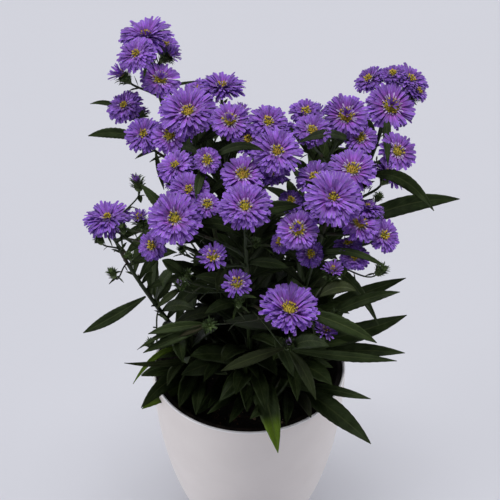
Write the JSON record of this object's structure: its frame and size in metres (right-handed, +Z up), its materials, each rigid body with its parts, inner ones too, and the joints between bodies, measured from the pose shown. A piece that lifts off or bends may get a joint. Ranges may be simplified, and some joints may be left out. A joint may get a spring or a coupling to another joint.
{
  "type": "potted new york aster",
  "caption": "Double purple aster with small yellow discs and long narrow leaves, growing in a soil-filled dark liner inside a smooth tapered white pot.",
  "frame": {"origin": "centre of the pot's flat underside, on the surface it stands on", "axes": "+Z up along the pot's axis; -Y is the front that the picture shows; +X to the right"},
  "size_m": [0.2518, 0.2226, 0.3966],
  "materials": {
    "white_plastic": "satin moulded white",
    "dark_plastic": "matt black-brown",
    "peat": "moist crumbly peat",
    "stem_green": "smooth green stalk",
    "leaf_green": "matt dark green blade",
    "ray_purple": "matt purple petals",
    "disc_yellow": "matt yellow florets"
  },
  "bodies": {
    "root": {"pot": "white_plastic", "liner_pot": "dark_plastic", "soil": "peat", "stem_1": "stem_green", "stem_2": "stem_green", "stem_3": "stem_green", "stem_4": "stem_green", "stem_5": "stem_green", "stem_6": "stem_green", "stem_7": "stem_green", "stem_8": "stem_green", "flower_01": "ray_purple", "flower_02": "ray_purple", "flower_03": "ray_purple", "flower_04": "ray_purple", "flower_05": "ray_purple", "flower_06": "ray_purple", "flower_07": "ray_purple", "flower_08": "ray_purple", "flower_09": "ray_purple", "flower_10": "ray_purple", "flower_11": "ray_purple", "flower_12": "ray_purple", "flower_13": "ray_purple", "flower_14": "ray_purple", "flower_15": "ray_purple", "flower_16": "ray_purple", "flower_17": "ray_purple", "flower_18": "ray_purple", "flower_19": "ray_purple", "flower_20": "ray_purple", "flower_21": "ray_purple", "flower_22": "ray_purple", "flower_23": "ray_purple", "flower_24": "ray_purple", "flower_25": "ray_purple", "flower_26": "ray_purple", "flower_27": "ray_purple", "flower_28": "ray_purple", "flower_29": "ray_purple", "flower_30": "ray_purple", "flower_31": "ray_purple", "flower_32": "ray_purple", "flower_33": "ray_purple", "flower_34": "ray_purple", "flower_35": "ray_purple", "leaf_01": "leaf_green", "leaf_02": "leaf_green", "leaf_03": "leaf_green", "leaf_04": "leaf_green", "leaf_05": "leaf_green", "leaf_06": "leaf_green", "leaf_07": "leaf_green", "leaf_08": "leaf_green", "leaf_09": "leaf_green", "leaf_10": "leaf_green", "leaf_11": "leaf_green", "leaf_12": "leaf_green", "leaf_13": "leaf_green", "leaf_14": "leaf_green"}
  },
  "joints": []
}
